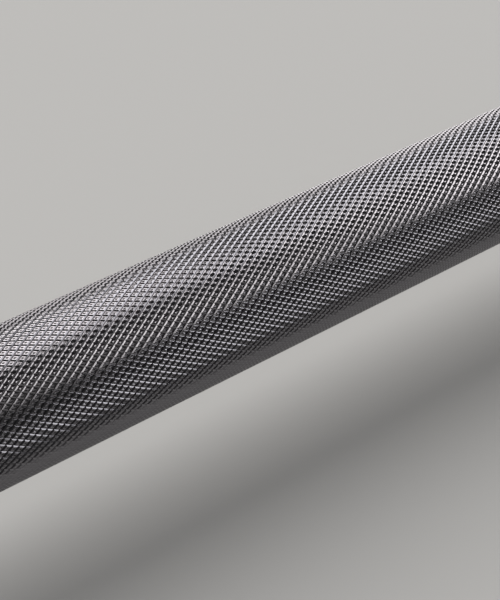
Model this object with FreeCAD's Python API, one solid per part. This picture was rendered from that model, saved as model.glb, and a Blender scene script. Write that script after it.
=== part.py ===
import FreeCAD
import Part

import math
import os

# Olympic barbell, men's 20 kg pattern, in millimetres.
# The bar lies along X with its middle at the origin, and Z is up.
# Each end is drawn once, measured outwards (u) from the inboard face of its collar, and placed twice.

Vector = FreeCAD.Vector
AXIS = Vector(1, 0, 0)
UP = Vector(0, 0, 1)
SHORTEST_EDGE = 1e-6

# Grip: the bare stretch of shaft between the two collars, and its knurled bands
grip_span = 1310.0
shaft_diameter = 28.0
knurl_rise = 0.1
knurl_runout = 0.6
centre_knurl_length = 120.0
plain_length = 155.0
inner_knurl_length = 240.0
mark_width = 5.0
collar_margin = 5.0

# Journals: the turned ends of the shaft that carry the sleeves
shaft_shoulder = 1.5
shoulder_chamfer = 0.5
journal_end_chamfer = 1.5
centre_hole_diameter = 6.0
centre_hole_depth = 5.0

# Sleeve: the rotating tube that holds the plates
sleeve_length = 415.0
sleeve_diameter = 50.0
sleeve_end_chamfer = 2.5
mouth_chamfer = 0.8

# Collar: the ring on the sleeve that stops the plates
collar_width = 30.0
collar_diameter = 75.0
collar_inboard_round = 6.0
collar_outboard_round = 1.5
collar_bore_chamfer = 0.5
collar_seat_step = 1.0

# Needle bearings: drawn cup, cage and rollers, two at each end of a sleeve
needle_diameter = 2.5
needle_length = 15.8
needle_clearance = 0.03
cage_wall = 1.2
cage_web = 1.6
cage_rim = 1.0
cage_end_clearance = 0.2
pocket_clearance = 0.1
cup_wall = 1.0
cup_lip = 0.8
lip_clearance = 0.4
bearing_gap = 2.0
bearing_inset = 0.5
bearing_shoulder = 1.5

# Thrust washers and dust seal
washer_thickness = 2.0
washer_clearance = 0.1
thrust_land = 2.5
end_play = 0.15
seal_recess = 1.0
seal_width = 5.0
seal_gap = 1.0
seal_lip_width = 1.2
seal_lip_taper = 1.2
seal_lip_clearance = 0.1
seal_body_clearance = 1.0

# Retaining ring on the shaft, outboard of the sleeve
shaft_ring_thickness = 1.2
shaft_ring_groove_depth = 0.55
shaft_ring_width = 3.0
shaft_ring_tip_width = 1.9
shaft_ring_lug = 4.4
shaft_ring_gap = 6.0
shaft_ring_hole = 2.0
shaft_ring_land = 3.5

# End cap, its seal, and the retaining ring in the sleeve that holds it
cap_thickness = 4.0
cap_fit = 0.02
cap_skirt_wall = 1.5
cap_lug_clearance = 0.7
cap_shaft_gap = 3.0
cap_dish_rim = 2.0
cap_dish_depth = 0.5
cap_seal_width = 2.0
cap_seal_depth = 1.2
cap_seal_round = 0.5
cap_ring_thickness = 1.5
cap_ring_groove_depth = 1.25
cap_ring_width = 3.6
cap_ring_tip_width = 2.4
cap_ring_lug = 5.2
cap_ring_gap = 9.0
cap_ring_hole = 2.5
cap_ring_land = 2.5
ring_side_clearance = 0.05

# Radii worked out from the sizes above
shaft_radius = shaft_diameter / 2
knurl_radius = shaft_radius + knurl_rise
journal_radius = shaft_radius - shaft_shoulder
needle_radius = needle_diameter / 2
pitch_radius = journal_radius + needle_clearance + needle_radius
raceway_radius = pitch_radius + needle_radius + needle_clearance
seat_radius = raceway_radius + cup_wall
middle_bore_radius = seat_radius - bearing_shoulder
cup_round = cup_wall / 2
shaft_groove_radius = journal_radius - shaft_ring_groove_depth
shaft_lug_radius = shaft_groove_radius + shaft_ring_lug
counterbore_radius = max(
    seat_radius + thrust_land,
    shaft_lug_radius + cap_lug_clearance + cap_skirt_wall,
)
cap_groove_radius = counterbore_radius + cap_ring_groove_depth
cap_radius = counterbore_radius - cap_fit
sleeve_radius = sleeve_diameter / 2
collar_seat_radius = sleeve_radius - collar_seat_step
collar_radius = collar_diameter / 2

# Places along one end, outwards from the inboard face of the collar
collar_seat_end_u = collar_width - collar_seat_step
shoulder_u = seal_recess + seal_width + seal_gap
inner_washer_u = shoulder_u + end_play
inner_floor_u = inner_washer_u + washer_thickness
cup_width = needle_length + 2 * (pocket_clearance + cage_rim + cage_end_clearance + cup_lip)
seat_length = bearing_inset + 2 * cup_width + bearing_gap
inner_seat_end_u = inner_floor_u + seat_length
sleeve_end_u = collar_width + sleeve_length
cap_ring_u = sleeve_end_u - cap_ring_land - cap_ring_thickness
cap_outer_u = cap_ring_u
cap_inner_u = cap_outer_u - cap_thickness
shaft_end_u = cap_inner_u - cap_shaft_gap
shaft_ring_u = shaft_end_u - shaft_ring_land - shaft_ring_thickness
outer_washer_u = shaft_ring_u - end_play - washer_thickness
outer_floor_u = outer_washer_u
outer_seat_start_u = outer_floor_u - seat_length
bearing_starts_u = [
    inner_floor_u + bearing_inset,
    inner_seat_end_u - cup_width,
    outer_seat_start_u,
    outer_floor_u - bearing_inset - cup_width,
]


def corner_edges(points):
    """Edges of a closed outline. A third number at a point is the radius that rounds its corner."""
    count = len(points)
    corners = [Vector(point[0], point[1], 0) for point in points]
    starts, ends, arcs = [], [], []
    for i, corner in enumerate(corners):
        radius = points[i][2] if len(points[i]) > 2 else 0
        if not radius:
            starts.append(corner)
            ends.append(corner)
            continue
        back = (corners[i - 1] - corner).normalize()
        ahead = (corners[(i + 1) % count] - corner).normalize()
        half_angle = back.getAngle(ahead) / 2
        reach = radius / math.tan(half_angle)
        bisector = (back + ahead).normalize()
        middle = corner + bisector * (radius / math.sin(half_angle) - radius)
        starts.append(corner + back * reach)
        ends.append(corner + ahead * reach)
        arcs.append(Part.Arc(starts[-1], middle, ends[-1]).toShape())
    lines = []
    for i in range(count):
        line_start, line_end = ends[i], starts[(i + 1) % count]
        if line_start.distanceToPoint(line_end) > SHORTEST_EDGE:
            lines.append(Part.LineSegment(line_start, line_end).toShape())
    return lines + arcs


def turned(points):
    """A solid turned about the bar's axis from an outline of (u, radius) points."""
    wire = Part.Wire(Part.__sortEdges__(corner_edges(points)))
    return Part.Face(wire).revolve(Vector(0, 0, 0), AXIS, 360)


def disc(radius, start_u, thickness, y=0.0, z=0.0):
    """A round slice square to the bar's axis."""
    return Part.makeCylinder(radius, thickness, Vector(start_u, y, z), AXIS)


def knurl_bands():
    """Start and end of each knurled band on the positive half of the grip, from the middle outwards."""
    half_centre = centre_knurl_length / 2
    inner_start = half_centre + plain_length
    mark_start = inner_start + inner_knurl_length
    return [
        (-half_centre, half_centre),
        (inner_start, mark_start),
        (mark_start + mark_width, grip_span / 2 - collar_margin),
    ]


def shaft_half_outline():
    """Outer line of half the shaft, from the centre knurl to the lathe centre in its end."""
    points = []
    for start, end in knurl_bands():
        if start > 0:
            points += [(start, shaft_radius), (start + knurl_runout, knurl_radius)]
        points += [(end - knurl_runout, knurl_radius), (end, shaft_radius)]
    collar_x = grip_span / 2
    shoulder_x = collar_x + shoulder_u
    groove_x = collar_x + shaft_ring_u - ring_side_clearance
    groove_end_x = groove_x + shaft_ring_thickness + 2 * ring_side_clearance
    end_x = collar_x + shaft_end_u
    points += [
        (shoulder_x - shoulder_chamfer, shaft_radius),
        (shoulder_x, shaft_radius - shoulder_chamfer),
        (shoulder_x, journal_radius),
        (groove_x, journal_radius),
        (groove_x, shaft_groove_radius),
        (groove_end_x, shaft_groove_radius),
        (groove_end_x, journal_radius),
        (end_x - journal_end_chamfer, journal_radius),
        (end_x, journal_radius - journal_end_chamfer),
        (end_x, centre_hole_diameter / 2),
        (end_x - centre_hole_depth, 0.0),
    ]
    return points


def make_shaft():
    """One solid bar: knurled grip, plain rings, shouldered journals, ring grooves and lathe centres."""
    half = shaft_half_outline()
    mirrored = [(-x, radius) for x, radius in reversed(half)]
    return turned(mirrored + half)


def make_sleeve():
    """Tube with stepped bores for the seals, washers and bearings, and a groove for the cap's ring."""
    groove_u = cap_ring_u - ring_side_clearance
    groove_end_u = cap_ring_u + cap_ring_thickness + ring_side_clearance
    return turned([
        (0.0, counterbore_radius + mouth_chamfer),
        (0.0, collar_seat_radius),
        (collar_seat_end_u, collar_seat_radius),
        (collar_width, sleeve_radius),
        (sleeve_end_u - sleeve_end_chamfer, sleeve_radius),
        (sleeve_end_u, sleeve_radius - sleeve_end_chamfer),
        (sleeve_end_u, counterbore_radius + mouth_chamfer),
        (sleeve_end_u - mouth_chamfer, counterbore_radius),
        (groove_end_u, counterbore_radius),
        (groove_end_u, cap_groove_radius),
        (groove_u, cap_groove_radius),
        (groove_u, counterbore_radius),
        (outer_floor_u, counterbore_radius),
        (outer_floor_u, seat_radius),
        (outer_seat_start_u, seat_radius),
        (outer_seat_start_u, middle_bore_radius),
        (inner_seat_end_u, middle_bore_radius),
        (inner_seat_end_u, seat_radius),
        (inner_floor_u, seat_radius),
        (inner_floor_u, counterbore_radius),
        (mouth_chamfer, counterbore_radius),
    ])


def make_collar():
    """Ring shrunk on the sleeve's seat up to a conical shoulder, with its larger round inboard."""
    return turned([
        (collar_bore_chamfer, collar_seat_radius),
        (0.0, collar_seat_radius + collar_bore_chamfer),
        (0.0, collar_radius, collar_inboard_round),
        (collar_width, collar_radius, collar_outboard_round),
        (collar_width, sleeve_radius),
        (collar_seat_end_u, collar_seat_radius),
    ])


def make_dust_seal():
    """Rubber ring pressed in the sleeve's mouth, with one lip that wipes the shaft."""
    lip_radius = shaft_radius + seal_lip_clearance
    body_radius = shaft_radius + seal_body_clearance
    lip_end_u = seal_recess + seal_lip_width
    end_u = seal_recess + seal_width
    return turned([
        (seal_recess, counterbore_radius),
        (seal_recess, lip_radius),
        (lip_end_u, lip_radius),
        (lip_end_u + seal_lip_taper, body_radius),
        (end_u, body_radius),
        (end_u, counterbore_radius),
    ])


def make_thrust_washer(start_u):
    """Flat bronze ring held in the sleeve, clear of the journal."""
    bore_radius = journal_radius + washer_clearance
    end_u = start_u + washer_thickness
    return turned([
        (start_u, bore_radius),
        (start_u, counterbore_radius),
        (end_u, counterbore_radius),
        (end_u, bore_radius),
    ])


def make_bearing_cup():
    """Drawn steel shell with a lip at each end, from u = 0 to the cup's width."""
    lip_radius = journal_radius + lip_clearance
    return turned([
        (0.0, lip_radius),
        (0.0, seat_radius, cup_round),
        (cup_width, seat_radius, cup_round),
        (cup_width, lip_radius),
        (cup_width - cup_lip, lip_radius),
        (cup_width - cup_lip, raceway_radius),
        (cup_lip, raceway_radius),
        (cup_lip, lip_radius),
    ])


def needle_angles():
    """Angles of the rollers, as many as the pitch circle takes with a web between them."""
    count = int(2 * math.pi * pitch_radius / (needle_diameter + cage_web))
    return [360.0 * i / count for i in range(count)]


def around(shape, angles):
    """Copies of a shape turned about the bar's axis."""
    copies = []
    for angle in angles:
        copy = shape.copy()
        copy.rotate(Vector(0, 0, 0), AXIS, angle)
        copies.append(copy)
    return copies


def make_needles():
    """The rollers of one bearing, each a separate solid."""
    start_u = (cup_width - needle_length) / 2
    roller = disc(needle_radius, start_u, needle_length, z=pitch_radius)
    return Part.makeCompound(around(roller, needle_angles()))


def make_cage():
    """Ring with one window for each roller and a rim at each end."""
    start_u = cup_lip + cage_end_clearance
    end_u = cup_width - start_u
    inner_radius = pitch_radius - cage_wall / 2
    outer_radius = pitch_radius + cage_wall / 2
    ring = turned([
        (start_u, inner_radius),
        (start_u, outer_radius),
        (end_u, outer_radius),
        (end_u, inner_radius),
    ])
    window_width = needle_diameter + 2 * pocket_clearance
    window = Part.makeBox(
        needle_length + 2 * pocket_clearance,
        window_width,
        2 * cage_wall,
        Vector(start_u + cage_rim, -window_width / 2, pitch_radius - cage_wall),
    )
    return ring.cut(around(window, needle_angles()))


def lug_places(lug_radius, centre_radius, gap):
    """Where a retaining ring's two plier lugs lie, one each side of its gap at the top, as (y, z)."""
    spread = gap / 2 + lug_radius
    height = math.sqrt(centre_radius ** 2 - spread ** 2)
    return [(-spread, height), (spread, height)]


def ring_gap_cutter(gap, start_u, thickness, reach):
    """Block that opens a retaining ring at the top."""
    return Part.makeBox(thickness, gap, reach, Vector(start_u, -gap / 2, 0))


def make_shaft_ring():
    """Outside retaining ring in the shaft's groove: widest at the bottom, with plier lugs at the gap."""
    start_u, thickness = shaft_ring_u, shaft_ring_thickness
    mean_width = (shaft_ring_width + shaft_ring_tip_width) / 2
    offset = (shaft_ring_width - shaft_ring_tip_width) / 2
    body = disc(shaft_groove_radius + mean_width, start_u, thickness, z=-offset)
    lug_radius = shaft_ring_lug / 2
    lug_centre = shaft_groove_radius + lug_radius
    places = lug_places(lug_radius, lug_centre, shaft_ring_gap)
    lugs = [disc(lug_radius, start_u, thickness, y, z) for y, z in places]
    holes = [disc(shaft_ring_hole / 2, start_u, thickness, y, z) for y, z in places]
    gap = ring_gap_cutter(shaft_ring_gap, start_u, thickness, shaft_lug_radius + shaft_ring_lug)
    bore = disc(shaft_groove_radius, start_u, thickness)
    return body.fuse(lugs).cut([bore, gap] + holes).removeSplitter()


def make_cap_ring():
    """Inside retaining ring in the sleeve's groove, with plier lugs that point inwards at the gap."""
    start_u, thickness = cap_ring_u, cap_ring_thickness
    mean_width = (cap_ring_width + cap_ring_tip_width) / 2
    offset = (cap_ring_width - cap_ring_tip_width) / 2
    body = disc(cap_groove_radius, start_u, thickness)
    opening = disc(cap_groove_radius - mean_width, start_u, thickness, z=offset)
    lug_radius = cap_ring_lug / 2
    lug_centre = cap_groove_radius - lug_radius
    places = lug_places(lug_radius, lug_centre, cap_ring_gap)
    lugs = [disc(lug_radius, start_u, thickness, y, z) for y, z in places]
    holes = [disc(cap_ring_hole / 2, start_u, thickness, y, z) for y, z in places]
    gap = ring_gap_cutter(cap_ring_gap, start_u, thickness, cap_groove_radius + cap_ring_lug)
    return body.cut(opening).fuse(lugs).cut([gap] + holes).removeSplitter()


def make_end_cap():
    """Cup that closes the sleeve: dished face, seal groove in the rim, and a skirt that holds the washer."""
    skirt_end_u = outer_washer_u + washer_thickness
    skirt_radius = counterbore_radius - cap_skirt_wall
    dish_radius = cap_groove_radius - cap_ring_lug - cap_dish_rim
    seal_u = cap_inner_u + (cap_thickness - cap_seal_width) / 2
    groove_radius = counterbore_radius - cap_seal_depth
    return turned([
        (cap_outer_u - cap_dish_depth, 0.0),
        (cap_outer_u - cap_dish_depth, dish_radius),
        (cap_outer_u, dish_radius + cap_dish_depth),
        (cap_outer_u, cap_radius),
        (seal_u + cap_seal_width, cap_radius),
        (seal_u + cap_seal_width, groove_radius),
        (seal_u, groove_radius),
        (seal_u, cap_radius),
        (skirt_end_u, cap_radius),
        (skirt_end_u, skirt_radius),
        (cap_inner_u, skirt_radius),
        (cap_inner_u, 0.0),
    ])


def make_cap_seal():
    """Rubber ring squeezed between the cap's groove and the sleeve's bore."""
    seal_u = cap_inner_u + (cap_thickness - cap_seal_width) / 2
    groove_radius = counterbore_radius - cap_seal_depth
    return turned([
        (seal_u, groove_radius, cap_seal_round),
        (seal_u, counterbore_radius, cap_seal_round),
        (seal_u + cap_seal_width, counterbore_radius, cap_seal_round),
        (seal_u + cap_seal_width, groove_radius, cap_seal_round),
    ])


def end_pieces():
    """Name and shape of every piece at one end, measured from the collar's inboard face."""
    pieces = {
        "sleeve": make_sleeve(),
        "collar": make_collar(),
        "dust_seal": make_dust_seal(),
        "inner_thrust_washer": make_thrust_washer(inner_washer_u),
        "outer_thrust_washer": make_thrust_washer(outer_washer_u),
        "shaft_retaining_ring": make_shaft_ring(),
        "end_cap": make_end_cap(),
        "end_cap_seal": make_cap_seal(),
        "end_cap_retaining_ring": make_cap_ring(),
    }
    bearing = {"cup": make_bearing_cup(), "cage": make_cage(), "needles": make_needles()}
    for number, start_u in enumerate(bearing_starts_u, start=1):
        for name, shape in bearing.items():
            copy = shape.copy()
            copy.translate(AXIS * start_u)
            pieces[f"bearing_{number}_{name}"] = copy
    return pieces


def placed(shape, side):
    """A piece moved out to the right end of the grip, or turned about Z to the left end."""
    copy = shape.copy()
    copy.translate(AXIS * (grip_span / 2))
    if side == "left":
        copy.rotate(Vector(0, 0, 0), UP, 180)
    return copy


def main():
    os.makedirs("parts", exist_ok=True)
    nodes = {"shaft": make_shaft()}
    for name, shape in end_pieces().items():
        for side in ("left", "right"):
            nodes[f"{side}_{name}"] = placed(shape, side)
    for name, shape in nodes.items():
        shape.exportStep(f"parts/{name}.step")


main()
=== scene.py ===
import math

import bmesh
import bpy
from mathutils import Matrix, Vector, noise


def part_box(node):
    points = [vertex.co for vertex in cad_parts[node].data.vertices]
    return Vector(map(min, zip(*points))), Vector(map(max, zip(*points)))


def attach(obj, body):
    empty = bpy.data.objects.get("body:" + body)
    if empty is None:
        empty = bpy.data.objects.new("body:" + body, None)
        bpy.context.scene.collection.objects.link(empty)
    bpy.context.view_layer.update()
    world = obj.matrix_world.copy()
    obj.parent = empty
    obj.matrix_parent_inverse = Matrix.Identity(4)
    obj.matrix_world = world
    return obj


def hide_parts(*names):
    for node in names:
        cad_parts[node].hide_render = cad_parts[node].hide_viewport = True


# Looks of the olympic barbell. Settings are in millimetres and degrees, meshes in metres.
mm = 0.001
fullTurn = 2 * math.pi
samePlace = 1e-6    # corners nearer than this, in metres, count as one
seamGap = 1e-7      # the same where a turned shape meets itself
flatEdge = 1e-8     # shorter edges of a turned shape are dissolved
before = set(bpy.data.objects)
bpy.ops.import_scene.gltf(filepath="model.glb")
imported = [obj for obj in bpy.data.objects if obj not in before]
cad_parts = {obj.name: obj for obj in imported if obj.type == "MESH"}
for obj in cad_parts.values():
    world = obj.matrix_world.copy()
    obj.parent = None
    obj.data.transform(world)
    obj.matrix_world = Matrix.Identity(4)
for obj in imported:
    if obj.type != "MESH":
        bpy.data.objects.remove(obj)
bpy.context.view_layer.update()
print("frame loaded with", len(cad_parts), "nodes")


# helpers for meshes and pieces

def boxMm(node):
    low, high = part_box(node)
    return low / mm, high / mm


def lathe(profile, steps):
    # profile is a line of (x, radius) corners, turned about the bar's axis and closed unless it ends there
    bm = bmesh.new()
    corners = [bm.verts.new((x * mm, 0.0, radius * mm)) for x, radius in profile]
    sides = [bm.edges.new(pair) for pair in zip(corners, corners[1:])]
    if profile[-1][1] > 0:
        sides.append(bm.edges.new((corners[-1], corners[0])))
    bmesh.ops.spin(bm, geom=corners + sides, cent=(0, 0, 0), axis=(1, 0, 0), angle=fullTurn,
                   steps=steps, use_merge=True, use_duplicate=False)
    bmesh.ops.remove_doubles(bm, verts=bm.verts, dist=seamGap)
    bmesh.ops.dissolve_degenerate(bm, edges=bm.edges, dist=flatEdge)
    bmesh.ops.recalc_face_normals(bm, faces=bm.faces)
    return bm


def ringEdges(bm, x, radius):
    # the edges of one turned corner
    def onRing(vert):
        away = math.hypot(vert.co.y, vert.co.z)
        return abs(vert.co.x - x * mm) < samePlace and abs(away - radius * mm) < samePlace
    return [edge for edge in bm.edges if all(onRing(vert) for vert in edge.verts)]


def roundRing(bm, x, radius, size, segments):
    bmesh.ops.bevel(bm, geom=ringEdges(bm, x, radius), offset=size * mm, offset_type="OFFSET",
                    segments=segments, profile=0.5, affect="EDGES", material=-1, clamp_overlap=True)


def addObject(name, data):
    thing = bpy.data.objects.new(name, data)
    bpy.context.scene.collection.objects.link(thing)
    return thing


def makePiece(bm, name, material, body, sharpAngle=None):
    # without a sharp angle the faces stay flat
    mesh = bpy.data.meshes.new(name)
    if sharpAngle is not None:
        for face in bm.faces:
            face.smooth = True
    bm.to_mesh(mesh)
    bm.free()
    if sharpAngle is not None:
        mesh.set_sharp_from_angle(angle=math.radians(sharpAngle))
    mesh.materials.append(material)
    piece = addObject(name, mesh)
    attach(piece, body)
    return piece


# shared material effects

def newGroup(name, inputs, outputs):
    group = bpy.data.node_groups.new(name, "ShaderNodeTree")
    for socketName, start in inputs:
        socket = group.interface.new_socket(socketName, in_out="INPUT", socket_type="NodeSocketFloat")
        socket.default_value = start
    for socketName in outputs:
        group.interface.new_socket(socketName, in_out="OUTPUT", socket_type="NodeSocketFloat")
    source = group.nodes.new("NodeGroupInput")
    target = group.nodes.new("NodeGroupOutput")
    return group, group.nodes, group.links, source, target


def mathNode(nodes, links, operation, *values, clamp=False):
    # a value is a number or a socket to link
    node = nodes.new("ShaderNodeMath")
    node.operation = operation
    node.use_clamp = clamp
    for socket, value in zip(node.inputs, values):
        if isinstance(value, (int, float)):
            socket.default_value = value
        else:
            links.new(value, socket)
    return node.outputs[0]


def cloudNode(nodes, links, vector, scale, detail):
    cloud = nodes.new("ShaderNodeTexNoise")
    cloud.inputs["Detail"].default_value = detail
    links.new(vector, cloud.inputs["Vector"])
    links.new(scale, cloud.inputs["Scale"])
    return cloud


def alongAndAway(nodes, links):
    # the place along the bar and the distance from its axis, from Object coordinates
    coords = nodes.new("ShaderNodeTexCoord")
    split = nodes.new("ShaderNodeSeparateXYZ")
    links.new(coords.outputs["Object"], split.inputs[0])
    across = mathNode(nodes, links, "MULTIPLY", split.outputs["Y"], split.outputs["Y"])
    upward = mathNode(nodes, links, "MULTIPLY", split.outputs["Z"], split.outputs["Z"])
    away = mathNode(nodes, links, "SQRT", mathNode(nodes, links, "ADD", across, upward))
    return split.outputs["X"], away


def makeHeightGroup():
    # 0 at the inner radius and 1 at the outer, both in metres
    group, nodes, links, source, target = newGroup(
        "heightOverAxis", [("Inner", 0.0135), ("Outer", 0.0141)], ["Height"])
    away = alongAndAway(nodes, links)[1]
    span = mathNode(nodes, links, "SUBTRACT", source.outputs["Outer"], source.outputs["Inner"])
    rise = mathNode(nodes, links, "SUBTRACT", away, source.outputs["Inner"])
    share = mathNode(nodes, links, "DIVIDE", rise, span, clamp=True)
    links.new(share, target.inputs["Height"])
    return group


def makeGrainGroup():
    # cloudy variation at two scales, for uneven plating, oil and handling
    group, nodes, links, source, target = newGroup(
        "unevenFilm", [("Scale", 60.0), ("Fine Scale", 900.0), ("Fine Share", 0.4)], ["Mask"])
    coords = nodes.new("ShaderNodeTexCoord")
    blend = nodes.new("ShaderNodeMix")
    links.new(source.outputs["Fine Share"], blend.inputs["Factor"])
    for scaleName, layerName in (("Scale", "A"), ("Fine Scale", "B")):
        cloud = cloudNode(nodes, links, coords.outputs["Object"], source.outputs[scaleName], detail=4.0)
        cloud.inputs["Roughness"].default_value = 0.55
        links.new(cloud.outputs["Fac"], blend.inputs[layerName])
    links.new(blend.outputs["Result"], target.inputs["Mask"])
    return group


def makeLatheGroup():
    # fine turning marks round the bar and round its end faces, uneven from one mark to the next
    group, nodes, links, source, target = newGroup(
        "turningMarks", [("Marks", 2200.0), ("Patches", 40.0)], ["Height", "Mask"])
    marks = nodes.new("ShaderNodeTexNoise")
    marks.noise_dimensions = "1D"
    marks.inputs["Detail"].default_value = 3.0
    links.new(mathNode(nodes, links, "ADD", *alongAndAway(nodes, links)), marks.inputs["W"])
    links.new(source.outputs["Marks"], marks.inputs["Scale"])
    coords = nodes.new("ShaderNodeTexCoord")
    patches = cloudNode(nodes, links, coords.outputs["Object"], source.outputs["Patches"], detail=2.0)
    uneven = mathNode(nodes, links, "MULTIPLY", marks.outputs["Fac"], patches.outputs["Fac"])
    links.new(marks.outputs["Fac"], target.inputs["Height"])
    links.new(uneven, target.inputs["Mask"])
    return group


slideScuff = {
    "stretch": (12.0, 900.0, 900.0),    # waves per metre: long along the bar, fine across it
    "bareLevel": 1.4,                   # streaks plus patches show above this, less the cover
    "contrast": 3.0,
}


def makeScuffGroup():
    # streaks along the bar, in patches, where plates and clips slide
    group, nodes, links, source, target = newGroup(
        "slideScuffs", [("Streaks", 1.0), ("Patches", 9.0), ("Cover", 0.5)], ["Mask"])
    coords = nodes.new("ShaderNodeTexCoord")
    stretch = nodes.new("ShaderNodeMapping")
    stretch.inputs["Scale"].default_value = slideScuff["stretch"]
    links.new(coords.outputs["Object"], stretch.inputs["Vector"])
    streaks = cloudNode(nodes, links, stretch.outputs["Vector"], source.outputs["Streaks"], detail=3.0)
    patches = cloudNode(nodes, links, coords.outputs["Object"], source.outputs["Patches"], detail=2.0)
    both = mathNode(nodes, links, "ADD", streaks.outputs["Fac"], patches.outputs["Fac"])
    above = mathNode(nodes, links, "SUBTRACT", both, slideScuff["bareLevel"])
    shown = mathNode(nodes, links, "ADD", above, source.outputs["Cover"])
    mask = mathNode(nodes, links, "MULTIPLY", shown, slideScuff["contrast"], clamp=True)
    links.new(mask, target.inputs["Mask"])
    return group


heightGroup = makeHeightGroup()
grainGroup = makeGrainGroup()
latheGroup = makeLatheGroup()
scuffGroup = makeScuffGroup()


def newMaterial(name, metallic):
    material = bpy.data.materials.new(name)
    material.use_nodes = True
    nodes = material.node_tree.nodes
    shader = nodes["Principled BSDF"]
    shader.inputs["Metallic"].default_value = metallic
    return material, nodes, material.node_tree.links, shader


def placeGroup(nodes, group, **values):
    # an underscore in a name stands for a space in the socket's
    node = nodes.new("ShaderNodeGroup")
    node.node_tree = group
    for name, value in values.items():
        node.inputs[name.replace("_", " ")].default_value = value
    return node


def addRamp(nodes, links, factor, stops, socket):
    # stops are (place, colour or grey), and the ramp's colour goes to the socket
    ramp = nodes.new("ShaderNodeValToRGB")
    elements = ramp.color_ramp.elements
    while len(elements) < len(stops):
        elements.new(0.5)
    for element, (place, colour) in zip(elements, stops):
        element.position = place
        element.color = (*colour, 1.0) if isinstance(colour, tuple) else (colour, colour, colour, 1.0)
    links.new(factor, ramp.inputs["Fac"])
    links.new(ramp.outputs["Color"], socket)


def addBump(nodes, links, height, settings, shader):
    bump = nodes.new("ShaderNodeBump")
    bump.inputs["Distance"].default_value = settings["bumpHeight"] * mm
    bump.inputs["Strength"].default_value = settings["bumpStrength"]
    links.new(height, bump.inputs["Height"])
    links.new(bump.outputs["Normal"], shader.inputs["Normal"])


# grip sizes, shared by the shaft and its knurl

grip = {
    "shaftRadius": 14.0,
    "centreKnurl": 120.0,
    "plain": 155.0,          # smooth stretch between the centre knurl and an inner one
    "innerKnurl": 240.0,
    "mark": 5.0,             # smooth ring between the inner and the outer knurl
    "collarMargin": 5.0,
}
collarFace = boxMm("right_collar")[0].x


def knurlBands():
    # name, start and end of each band along the bar
    half = grip["centreKnurl"] / 2
    innerStart = half + grip["plain"]
    innerEnd = innerStart + grip["innerKnurl"]
    outerStart = innerEnd + grip["mark"]
    outerEnd = collarFace - grip["collarMargin"]
    return [
        ("centre", -half, half),
        ("right_inner", innerStart, innerEnd),
        ("right_outer", outerStart, outerEnd),
        ("left_inner", -innerEnd, -innerStart),
        ("left_outer", -outerEnd, -outerStart),
    ]


# knurl

knurl = {
    "starts": 64,             # grooves of each hand round the bar
    "helix": 30.0,            # groove to axis
    "crestRadius": 14.1,
    "depth": 0.212,           # grooves that climb to the right
    "shallowDepth": 0.15,     # grooves of the other hand
    "topShare": 52.0,         # percent of a diamond's width left on top, between deep grooves
    "shallowTopShare": 64.5,  # the same between shallow grooves
    "rim": 0.08,              # flat round the pit in each diamond
    "pit": 0.115,             # depth of that pit
    "pitStretch": 0.65,       # the pit's width between shallow grooves is cut to this share
    "unevenness": 0.012,      # how much crests vary in height
    "coarseLength": 9.0,      # slow waves of that along the bar
    "coarseTurn": 3.0,        # and how fast they change round it
    "fineRate": 0.8,          # quick waves for each millimetre along the bar
    "fineTurn": 11.0,
    "fade": 1.6,              # length of the run-out at a band's ends
    "coreRadius": 13.0,       # inner wall of a band
    "longestPiece": 130.0,    # a longer band is made in parts
    # finish from the grooves' bottoms to the crests: the lowest part of each groove is painted darker as
    # painted shade, and the crests are a little lighter as wear
    "colours": [(0.0, (0.062, 0.06, 0.064)), (0.30, (0.184, 0.178, 0.188)), (1.0, (0.194, 0.187, 0.198))],
    "roughness": [(0.0, 0.26), (0.4, 0.20), (1.0, 0.18)],
    "grain": {"Scale": 45.0, "Fine_Scale": 1500.0, "Fine_Share": 0.5},
    "filmShare": 0.3,         # how far uneven plating shifts that
    "bumpHeight": 0.02,
    "bumpStrength": 0.25,
}
gridColumns = 2 * knurl["starts"]
gridArc = fullTurn / gridColumns


def knurlMaterial():
    material, nodes, links, shader = newMaterial("knurled dark steel", metallic=1.0)
    height = placeGroup(nodes, heightGroup, Inner=(knurl["crestRadius"] - knurl["depth"]) * mm,
                        Outer=knurl["crestRadius"] * mm)
    grain = placeGroup(nodes, grainGroup, **knurl["grain"])
    film = knurl["filmShare"]
    shift = mathNode(nodes, links, "MULTIPLY_ADD", grain.outputs["Mask"], film, -film / 2)
    # depth in the knurl, shifted by uneven plating, places the colour: painted shade in the grooves'
    # bottoms, a little wear on the crests
    rampPlace = mathNode(nodes, links, "ADD", height.outputs["Height"], shift, clamp=True)
    addRamp(nodes, links, rampPlace, knurl["colours"], shader.inputs["Base Color"])
    addRamp(nodes, links, rampPlace, knurl["roughness"], shader.inputs["Roughness"])
    addBump(nodes, links, grain.outputs["Mask"], knurl, shader)
    return material


def crestHeight(x, turn, raised):
    # radius of one grid corner: a diamond's point before its top is cut off, or a groove crossing
    share = knurl["topShare"] / 100
    coarse = noise.noise(Vector((x / knurl["coarseLength"], 0.0, 0.0)) + turn * knurl["coarseTurn"])
    fine = noise.noise(Vector((x * knurl["fineRate"], 0.0, 0.0)) + turn * knurl["fineTurn"])
    wobble = (coarse + fine) * knurl["unevenness"]
    if raised:
        return knurl["crestRadius"] + knurl["depth"] / (1 - share) * share + wobble
    return knurl["crestRadius"] - knurl["depth"] + wobble


def runOut(x, start, end):
    # 0 at a band's ends and 1 where the knurl has its full depth
    return max(0.0, min(1.0, (x - start) / knurl["fade"], (end - x) / knurl["fade"]))


def onBar(x, angle, radius):
    return Vector((x, radius * math.sin(angle), radius * math.cos(angle))) * mm


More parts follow.
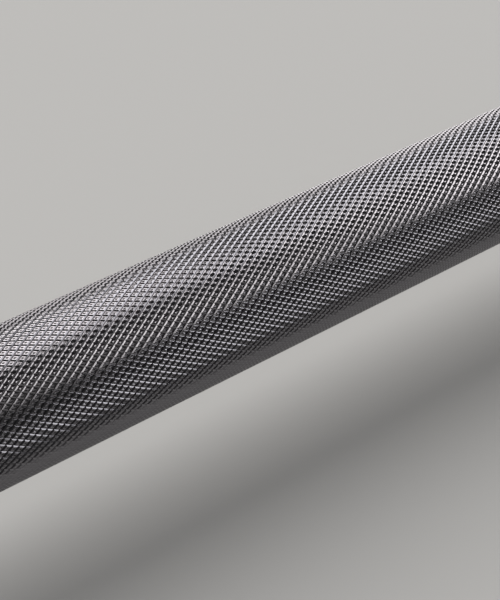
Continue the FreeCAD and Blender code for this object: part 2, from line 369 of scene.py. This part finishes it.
def knurlBand(start, end, part, parts):
    # a grid with every second corner sunk, wrapped round the bar: each raised corner is a diamond's point
    step = knurl["crestRadius"] * gridArc / math.tan(math.radians(knurl["helix"]))
    rows = 2 * round((end - start) / step / 2)
    step = (end - start) / rows
    bm = bmesh.new()
    bmesh.ops.create_grid(bm, x_segments=rows, y_segments=gridColumns, size=1.0)
    corners = {}
    for vert in bm.verts:
        row = round((vert.co.x + 1) / 2 * rows)
        column = round((vert.co.y + 1) / 2 * gridColumns) % gridColumns
        x = start + row * step
        raised = (row + column) % 2 == 1
        rise = crestHeight(x, onBar(0, column * gridArc, 1 / mm), raised) - grip["shaftRadius"]
        vert.co = onBar(x, column * gridArc, grip["shaftRadius"] + rise * runOut(x, start, end))
        corners[vert] = (row, column, raised)
    bmesh.ops.triangulate(bm, faces=bm.faces, quad_method="SHORT_EDGE")
    doubles = bmesh.ops.find_doubles(bm, verts=bm.verts, dist=samePlace)["targetmap"]
    corners = {vert: place for vert, place in corners.items() if vert not in doubles}
    bmesh.ops.weld_verts(bm, targetmap=doubles)
    # a long band is cut along its grooves, so that no diamond is split
    firstRow = rows * part / parts
    lastRow = rows * (part + 1) / parts if part + 1 < parts else rows + 1
    points = {vert for vert, place in corners.items() if place[2] and firstRow <= place[0] < lastRow}
    other = [face for face in bm.faces if not any(vert in points for vert in face.verts)]
    bmesh.ops.delete(bm, geom=other, context="FACES")
    crossings = {vert: place for vert, place in corners.items() if vert.is_valid and not place[2]}
    points = [vert for vert, place in corners.items() if vert in points and 0 < place[0] < rows]
    tops = bmesh.ops.bevel(bm, geom=points, offset=knurl["topShare"], offset_type="PERCENT", segments=1,
                           profile=0.5, affect="VERTICES", material=-1)["faces"]
    stretchTops(tops, start, step, knurl["shallowTopShare"] / knurl["topShare"])
    raiseShallowGrooves(bm, crossings, start, end, step)
    closeBand(bm)
    sunk = [face for face in tops if runOut(face.calc_center_median().x / mm, start, end) == 1]
    bmesh.ops.inset_individual(bm, faces=sunk, thickness=knurl["rim"] * mm, depth=0.0,
                               use_even_offset=True)
    stretchTops(sunk, start, step, knurl["pitStretch"])
    bmesh.ops.poke(bm, faces=sunk, offset=-knurl["pit"] * mm, center_mode="MEAN",
                   use_relative_offset=False)
    return bm


def onGrid(vert, start, step):
    # where a vertex lies on the grid, in rows and columns, and its radius
    angle = math.atan2(vert.co.y, vert.co.z)
    return (vert.co.x / mm - start) / step, angle / gridArc, math.hypot(vert.co.y, vert.co.z) / mm


def stretchTops(tops, start, step, factor):
    # each face grows or shrinks about its middle, square to the shallow grooves
    for vert in {vert for face in tops for vert in face.verts}:
        row, column, radius = onGrid(vert, start, step)
        across = (row + column) / 2
        shift = (across - math.floor(across) - 0.5) * (factor - 1)
        vert.co = onBar(start + (row + shift) * step, (column + shift) * gridArc, radius)


def raiseShallowGrooves(bm, crossings, start, end, step):
    # one hand is cut less deep: its bottoms climb the deep grooves' walls and run level in between
    shallow = []
    for edge in bm.edges:
        if all(vert in crossings for vert in edge.verts):
            first, second = (crossings[vert] for vert in edge.verts)
            if (second[0] - first[0]) * (second[1] - first[1]) % gridColumns == gridColumns - 1:
                shallow.append(edge)
    made = bmesh.ops.subdivide_edges(bm, edges=shallow, cuts=2)["geom_inner"]
    reach = (1 - knurl["topShare"] / 100) / 2 * (1 - knurl["shallowDepth"] / knurl["depth"])
    lift = knurl["depth"] - knurl["shallowDepth"]
    for cut in made:
        if not isinstance(cut, bmesh.types.BMVert):
            continue
        row, column, radius = onGrid(cut, start, step)
        along = (row - column) % 2 / 2
        shift = (reach if along < 0.5 else 1 - reach) - along
        x = start + (row + shift) * step
        cut.co = onBar(x, (column - shift) * gridArc, radius + lift * runOut(x, start, end))


def closeBand(bm):
    # both ends turn in to the core, and an inner wall joins them
    rim = [edge for edge in bm.edges if edge.is_boundary]
    made = bmesh.ops.extrude_edge_only(bm, edges=rim)["geom"]
    for item in made:
        if isinstance(item, bmesh.types.BMVert):
            shrink = knurl["coreRadius"] * mm / math.hypot(item.co.y, item.co.z)
            item.co = (item.co.x, item.co.y * shrink, item.co.z * shrink)
    inner = [item for item in made if isinstance(item, bmesh.types.BMEdge) and item.is_boundary]
    bmesh.ops.bridge_loops(bm, edges=inner)
    bmesh.ops.recalc_face_normals(bm, faces=bm.faces)


knurlSteel = knurlMaterial()
for name, start, end in knurlBands():
    parts = math.ceil((end - start) / knurl["longestPiece"])
    for part in range(parts):
        bandName = "knurl_" + name + ("_" + str(part + 1) if parts > 1 else "")
        band = makePiece(knurlBand(start, end, part, parts), bandName, knurlSteel, "shaft")
        print("knurl band", bandName, "has", len(band.data.polygons), "faces")


# shaft: the smooth bar, drawn in under each knurled band

shaft = {
    "steps": 144,
    "sharpAngle": 30.0,
    "journalRadius": 12.5,
    "shoulder": 7.0,            # from the collar's inboard face to the end of the full diameter
    "shoulderChamfer": 0.5,
    "grooveDepth": 0.55,        # for the retaining ring
    "grooveClearance": 0.05,
    "endChamfer": 1.5,
    "centreHoleRadius": 3.0,    # lathe centre in each end
    "centreHoleDepth": 5.0,
    "metallic": 1.0,
    "turning": {"Marks": 1800.0, "Patches": 30.0},
    "grain": {"Scale": 25.0, "Fine_Scale": 700.0, "Fine_Share": 0.3},
    "colours": [(0.3, (0.135, 0.13, 0.137)), (0.7, (0.19, 0.183, 0.193))],
    "roughness": [(0.1, 0.18), (0.5, 0.34)],
    "bumpHeight": 0.02,
    "bumpStrength": 0.4,
}


def turnedMaterial(name, settings):
    # the grain gives the colour, and the turning marks the roughness and the bump
    material, nodes, links, shader = newMaterial(name, settings["metallic"])
    marks = placeGroup(nodes, latheGroup, **settings["turning"])
    film = placeGroup(nodes, grainGroup, **settings["grain"])
    addRamp(nodes, links, film.outputs["Mask"], settings["colours"], shader.inputs["Base Color"])
    addRamp(nodes, links, marks.outputs["Mask"], settings["roughness"], shader.inputs["Roughness"])
    addBump(nodes, links, marks.outputs["Height"], settings, shader)
    return material


def shaftHalf():
    # corners from the centre knurl out to the lathe centre in the right end
    radius = grip["shaftRadius"]
    journal = shaft["journalRadius"]
    ring = boxMm("right_shaft_retaining_ring")
    grooveX = ring[0].x - shaft["grooveClearance"]
    grooveEndX = ring[1].x + shaft["grooveClearance"]
    shoulderX = collarFace + shaft["shoulder"]
    endX = boxMm("shaft")[1].x
    line = []
    for name, start, end in knurlBands():
        if name.startswith("left"):
            continue
        if name != "centre":
            line += [(start, radius), (start, knurl["coreRadius"])]
        line += [(end, knurl["coreRadius"]), (end, radius)]
    line += [
        (shoulderX - shaft["shoulderChamfer"], radius),
        (shoulderX, radius - shaft["shoulderChamfer"]),
        (shoulderX, journal),
        (grooveX, journal),
        (grooveX, journal - shaft["grooveDepth"]),
        (grooveEndX, journal - shaft["grooveDepth"]),
        (grooveEndX, journal),
        (endX - shaft["endChamfer"], journal),
        (endX, journal - shaft["endChamfer"]),
        (endX, shaft["centreHoleRadius"]),
        (endX - shaft["centreHoleDepth"], 0.0),
    ]
    return line


shaftSteel = turnedMaterial("plain dark steel", shaft)
rightHalf = shaftHalf()
leftHalf = [(-x, radius) for x, radius in reversed(rightHalf)]
shaftMesh = lathe(leftHalf + rightHalf, shaft["steps"])
plainShaft = makePiece(shaftMesh, "plain_shaft", shaftSteel, "shaft", shaft["sharpAngle"])
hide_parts("shaft")
print("shaft done")


# sleeves, collars and end caps: turned pieces, drawn at the right end and mirrored to the left

def turnedPiece(side, name, node, profile, rounds, settings, material):
    # rounds are (x, radius, size, segments) of the corners to round off
    sign = 1
    if side == "left":
        sign = -1
        profile = [(-x, radius) for x, radius in reversed(profile)]
    bm = lathe(profile, settings["steps"])
    for x, radius, size, segments in rounds:
        roundRing(bm, sign * x, radius, size, segments)
    piece = makePiece(bm, side + "_" + name, material, side + "_sleeve", settings["sharpAngle"])
    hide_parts(side + "_" + node)


chrome = {
    "patches": 12.0,            # of the turning marks
    "grain": {"Scale": 18.0, "Fine_Scale": 500.0, "Fine_Share": 0.25},
    "streaks": {"Streaks": 1.0, "Patches": 9.0},
    "colours": [(0.2, (0.52, 0.52, 0.53)), (0.7, (0.70, 0.70, 0.71))],
    "filmRange": (0.4, 1.0),    # cleanest and most worn, where a piece's two roughnesses lie
    "scuffDarkens": 0.25,
    "scuffRoughens": 0.5,
    "bumpHeight": 0.01,
    "bumpStrength": 0.35,
}


def chromeMaterial(name, settings):
    material, nodes, links, shader = newMaterial(name, metallic=1.0)
    turning = placeGroup(nodes, latheGroup, Marks=settings["marks"], Patches=chrome["patches"])
    grain = placeGroup(nodes, grainGroup, **chrome["grain"])
    scuff = placeGroup(nodes, scuffGroup, Cover=settings["scuffs"], **chrome["streaks"])
    darker = mathNode(nodes, links, "MULTIPLY", scuff.outputs["Mask"], chrome["scuffDarkens"])
    tone = mathNode(nodes, links, "SUBTRACT", grain.outputs["Mask"], darker)
    addRamp(nodes, links, tone, chrome["colours"], shader.inputs["Base Color"])
    rougher = mathNode(nodes, links, "MULTIPLY", scuff.outputs["Mask"], chrome["scuffRoughens"])
    film = mathNode(nodes, links, "ADD", turning.outputs["Mask"], grain.outputs["Mask"])
    rampPlace = mathNode(nodes, links, "ADD", film, rougher)
    roughness = list(zip(chrome["filmRange"], settings["roughness"]))
    addRamp(nodes, links, rampPlace, roughness, shader.inputs["Roughness"])
    addBump(nodes, links, turning.outputs["Height"], chrome, shader)
    return material


sleeve = {
    "steps": 192,
    "sharpAngle": 20.0,
    "radius": 25.0,
    "seatRadius": 24.0,         # under the collar
    "endChamfer": 2.5,
    "mouthChamfer": 0.8,
    "boreRadius": 18.56,        # round the seals, washers and cap
    "bearingRadius": 16.06,
    "middleRadius": 14.56,
    "ringRadius": 19.81,        # groove for the cap's ring
    "ringClearance": 0.05,
    "edgeRound": 0.5,
    "roundSegments": 3,
    "marks": 1400.0,            # turning marks
    "roughness": (0.13, 0.23),
    "scuffs": 0.20,
}


def sleeveProfile():
    tube = boxMm("right_sleeve")
    ring = boxMm("right_end_cap_retaining_ring")
    collarEnd = boxMm("right_collar")[1].x
    innerFloor = boxMm("right_inner_thrust_washer")[1].x
    outerFloor = boxMm("right_outer_thrust_washer")[0].x
    innerSeatEnd = boxMm("right_bearing_2_cup")[1].x
    outerSeatStart = boxMm("right_bearing_3_cup")[0].x
    bore = sleeve["boreRadius"]
    mouth = sleeve["mouthChamfer"]
    return [
        (tube[0].x, bore + mouth),
        (tube[0].x, sleeve["seatRadius"]),
        (collarEnd - (sleeve["radius"] - sleeve["seatRadius"]), sleeve["seatRadius"]),
        (collarEnd, sleeve["radius"]),
        (tube[1].x - sleeve["endChamfer"], sleeve["radius"]),
        (tube[1].x, sleeve["radius"] - sleeve["endChamfer"]),
        (tube[1].x, bore + mouth),
        (tube[1].x - mouth, bore),
        (ring[1].x + sleeve["ringClearance"], bore),
        (ring[1].x + sleeve["ringClearance"], sleeve["ringRadius"]),
        (ring[0].x - sleeve["ringClearance"], sleeve["ringRadius"]),
        (ring[0].x - sleeve["ringClearance"], bore),
        (outerFloor, bore),
        (outerFloor, sleeve["bearingRadius"]),
        (outerSeatStart, sleeve["bearingRadius"]),
        (outerSeatStart, sleeve["middleRadius"]),
        (innerSeatEnd, sleeve["middleRadius"]),
        (innerSeatEnd, sleeve["bearingRadius"]),
        (innerFloor, sleeve["bearingRadius"]),
        (innerFloor, bore),
        (tube[0].x + mouth, bore),
    ]


def sleeveRounds():
    endX = boxMm("right_sleeve")[1].x
    size = sleeve["edgeRound"]
    segments = sleeve["roundSegments"]
    return [
        (endX - sleeve["endChamfer"], sleeve["radius"], size, segments),
        (endX, sleeve["radius"] - sleeve["endChamfer"], size, segments),
    ]


collar = {
    "steps": 192,
    "sharpAngle": 20.0,
    "radius": 37.5,
    "inboardRound": 6.0,
    "inboardSegments": 9,
    "outboardRound": 1.5,
    "outboardSegments": 5,
    "boreChamfer": 0.5,
    "marks": 900.0,             # turning marks
    "roughness": (0.05, 0.18),
    "scuffs": 0.10,
}


def collarProfile():
    ring = boxMm("right_collar")
    seat = sleeve["seatRadius"]
    return [
        (ring[0].x + collar["boreChamfer"], seat),
        (ring[0].x, seat + collar["boreChamfer"]),
        (ring[0].x, collar["radius"]),
        (ring[1].x, collar["radius"]),
        (ring[1].x, sleeve["radius"]),
        (ring[1].x - (sleeve["radius"] - seat), seat),
    ]


def collarRounds():
    ring = boxMm("right_collar")
    return [
        (ring[0].x, collar["radius"], collar["inboardRound"], collar["inboardSegments"]),
        (ring[1].x, collar["radius"], collar["outboardRound"], collar["outboardSegments"]),
    ]


cap = {
    "steps": 128,
    "sharpAngle": 25.0,
    "thickness": 4.0,
    "radius": 18.54,
    "dishRadius": 12.61,
    "dishDepth": 0.5,
    "sealGrooveRadius": 17.36,
    "skirtRadius": 17.06,       # inside of the skirt that holds the washer
    "edgeRound": 0.2,
    "roundSegments": 3,
    "metallic": 0.7,
    "turning": {"Marks": 2600.0, "Patches": 60.0},
    "grain": {"Scale": 70.0, "Fine_Scale": 1400.0, "Fine_Share": 0.4},
    "colours": [(0.3, (0.06, 0.06, 0.063)), (0.7, (0.10, 0.10, 0.104))],
    "roughness": [(0.1, 0.26), (0.5, 0.44)],
    "bumpHeight": 0.04,
    "bumpStrength": 0.5,
}


def capProfile():
    cup = boxMm("right_end_cap")
    seal = boxMm("right_end_cap_seal")
    faceX = cup[1].x
    return [
        (faceX - cap["dishDepth"], 0.0),
        (faceX - cap["dishDepth"], cap["dishRadius"]),
        (faceX, cap["dishRadius"] + cap["dishDepth"]),
        (faceX, cap["radius"]),
        (seal[1].x, cap["radius"]),
        (seal[1].x, cap["sealGrooveRadius"]),
        (seal[0].x, cap["sealGrooveRadius"]),
        (seal[0].x, cap["radius"]),
        (cup[0].x, cap["radius"]),
        (cup[0].x, cap["skirtRadius"]),
        (faceX - cap["thickness"], cap["skirtRadius"]),
        (faceX - cap["thickness"], 0.0),
    ]


def capRounds():
    faceX = boxMm("right_end_cap")[1].x
    size = cap["edgeRound"]
    segments = cap["roundSegments"]
    return [
        (faceX, cap["dishRadius"] + cap["dishDepth"], size, segments),
        (faceX - cap["dishDepth"], cap["dishRadius"], size, segments),
    ]


sleeveChrome = chromeMaterial("turned chrome", sleeve)
collarChrome = chromeMaterial("polished chrome", collar)
capBlack = turnedMaterial("black anodised aluminium", cap)
for side in ("right", "left"):
    turnedPiece(side, "plate_sleeve", "sleeve", sleeveProfile(), sleeveRounds(), sleeve,
                sleeveChrome)
    turnedPiece(side, "stop_collar", "collar", collarProfile(), collarRounds(), collar,
                collarChrome)
    turnedPiece(side, "dished_cap", "end_cap", capProfile(), capRounds(), cap,
                capBlack)
print("sleeves, collars and end caps done")


# small pieces that keep their solid, by the endings of their names

smallFinishes = {
    "seal rubber": {
        "endings": ("dust_seal", "end_cap_seal"), "metallic": 0.0, "roughness": (0.5, 0.7),
        "colours": ((0.018, 0.018, 0.019), (0.03, 0.03, 0.031)),
    },
    "sintered bronze": {
        "endings": ("thrust_washer",), "metallic": 1.0, "roughness": (0.35, 0.5),
        "colours": ((0.40, 0.24, 0.10), (0.55, 0.34, 0.15)),
    },
    "blackened spring steel": {
        "endings": ("retaining_ring",), "metallic": 1.0, "roughness": (0.3, 0.45),
        "colours": ((0.05, 0.05, 0.052), (0.08, 0.08, 0.082)),
    },
    "bearing steel": {
        "endings": ("cup", "needles"), "metallic": 1.0, "roughness": (0.15, 0.25),
        "colours": ((0.45, 0.45, 0.46), (0.55, 0.55, 0.56)),
    },
    "pressed cage steel": {
        "endings": ("cage",), "metallic": 1.0, "roughness": (0.3, 0.4),
        "colours": ((0.28, 0.28, 0.29), (0.36, 0.36, 0.37)),
    },
}
smallGrain = {
    "grain": {"Scale": 120.0, "Fine_Scale": 1200.0, "Fine_Share": 0.5},
    "maskRange": (0.3, 0.7),    # where a finish's two colours and roughnesses lie
    "bumpHeight": 0.03,
    "bumpStrength": 0.3,
}


def smallMaterial(name, settings):
    material, nodes, links, shader = newMaterial(name, settings["metallic"])
    grain = placeGroup(nodes, grainGroup, **smallGrain["grain"])
    for key, socketName in (("colours", "Base Color"), ("roughness", "Roughness")):
        stops = list(zip(smallGrain["maskRange"], settings[key]))
        addRamp(nodes, links, grain.outputs["Mask"], stops, shader.inputs[socketName])
    addBump(nodes, links, grain.outputs["Mask"], smallGrain, shader)
    return material


for finish, settings in smallFinishes.items():
    material = smallMaterial(finish, settings)
    for name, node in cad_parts.items():
        if name.endswith(settings["endings"]):
            node.data.materials.clear()
            node.data.materials.append(material)
print("small pieces finished")


# floor, light and camera

studio = {
    "floorHalf": 90000.0,
    "floorColour": (0.51, 0.51, 0.50),
    "floorRoughness": 0.85,
    "floorSpecular": 0.2,
    "worldLevel": 0.07,
    "gripX": -340.0,          # middle of the grip in view, which the lamps face
    "lampSpread": 20.0,       # lamps stand this much farther off and are larger, to light the floor evenly
    "warm": (1.0, 0.975, 0.955),
    "cool": (0.97, 0.975, 1.0),
}
# place is from the middle of the grip in view, side is the way a lamp's width runs,
# and radiance is how bright its face looks, where 1 is a white wall in plain light
lamps = {
    "back softbox": {
        "place": (-20, 1130, 1775), "side": (1, 0, 0), "size": (485, 2195),
        "radiance": 4.0, "colour": "warm",
    },
    "wide softbox": {
        "place": (505, 880, 1195), "side": (1, 0, 0), "size": (550, 2070),
        "radiance": 6.2, "colour": "warm",
    },
    "end softbox": {
        "place": (2370, 85, 845), "side": (0, 1, 0), "size": (1200, 1290),
        "radiance": 4.6, "colour": "cool",
    },
    "front softbox": {
        "place": (2400, -955, 815), "side": (0, 1, 0), "size": (885, 1135),
        "radiance": 3.3, "colour": "cool",
    },
}
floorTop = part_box("right_collar")[0].z


def makeFloor():
    bm = bmesh.new()
    bmesh.ops.create_grid(bm, x_segments=1, y_segments=1, size=studio["floorHalf"] * mm)
    bmesh.ops.translate(bm, verts=bm.verts, vec=(0, 0, floorTop))
    mesh = bpy.data.meshes.new("floor")
    bm.to_mesh(mesh)
    bm.free()
    floor = addObject("floor", mesh)
    material, _, _, shader = newMaterial("pale floor", metallic=0.0)
    shader.inputs["Base Color"].default_value = (*studio["floorColour"], 1.0)
    shader.inputs["Roughness"].default_value = studio["floorRoughness"]
    shader.inputs["Specular IOR Level"].default_value = studio["floorSpecular"]
    mesh.materials.append(material)


def makeLamp(name, settings):
    spread = studio["lampSpread"]
    width, height = settings["size"]
    lamp = bpy.data.lights.new(name, "AREA")
    lamp.shape = "RECTANGLE"
    lamp.size = width * spread * mm
    lamp.size_y = height * spread * mm
    lamp.energy = settings["radiance"] * math.pi * lamp.size * lamp.size_y
    lamp.color = studio[settings["colour"]]
    holder = addObject(name, lamp)
    place = Vector(settings["place"])
    side = Vector(settings["side"])
    holder.location = (Vector((studio["gripX"], 0, 0)) + place * spread) * mm
    # the lamp's width runs along side, as nearly as its aim at the grip allows
    back = place.normalized()
    across = (side - back * back.dot(side)).normalized()
    holder.rotation_euler = Matrix((across, back.cross(across), back)).transposed().to_euler()
    holder.visible_camera = False


def makeWorld():
    world = bpy.data.worlds.new("studio")
    world.use_nodes = True
    background = world.node_tree.nodes["Background"]
    background.inputs["Color"].default_value = (1, 1, 1, 1)
    background.inputs["Strength"].default_value = studio["worldLevel"]
    bpy.context.scene.world = world


cameraSet = {
    "lens": 96.0,
    "sensorWidth": 36.0,
    "azimuth": -39.25,
    "elevation": 35.07,
    "aimX": -342.0,       # point of the axis in the middle column
    "distance": 324.95,
    "lift": 1.96,         # how far that point is above the lens axis
    "nearClip": 10.0,
    "farClip": 200000.0,
}


def makeCamera():
    turn = math.radians(cameraSet["azimuth"])
    tilt = math.radians(cameraSet["elevation"])
    back = Vector((math.sin(turn) * math.cos(tilt), -math.cos(turn) * math.cos(tilt), math.sin(tilt)))
    facing = (-back).to_track_quat("-Z", "Y")
    up = facing @ Vector((0, 1, 0))
    data = bpy.data.cameras.new("camera")
    data.lens = cameraSet["lens"]
    data.sensor_width = cameraSet["sensorWidth"]
    data.clip_start = cameraSet["nearClip"] * mm
    data.clip_end = cameraSet["farClip"] * mm
    camera = addObject("camera", data)
    aim = Vector((cameraSet["aimX"], 0, 0))
    camera.location = (aim + back * cameraSet["distance"] - up * cameraSet["lift"]) * mm
    camera.rotation_euler = facing.to_euler()
    bpy.context.scene.camera = camera


makeFloor()
for name, settings in lamps.items():
    makeLamp(name, settings)
makeWorld()
makeCamera()
bpy.context.scene.view_settings.view_transform = "Standard"
print("floor, light and camera done")
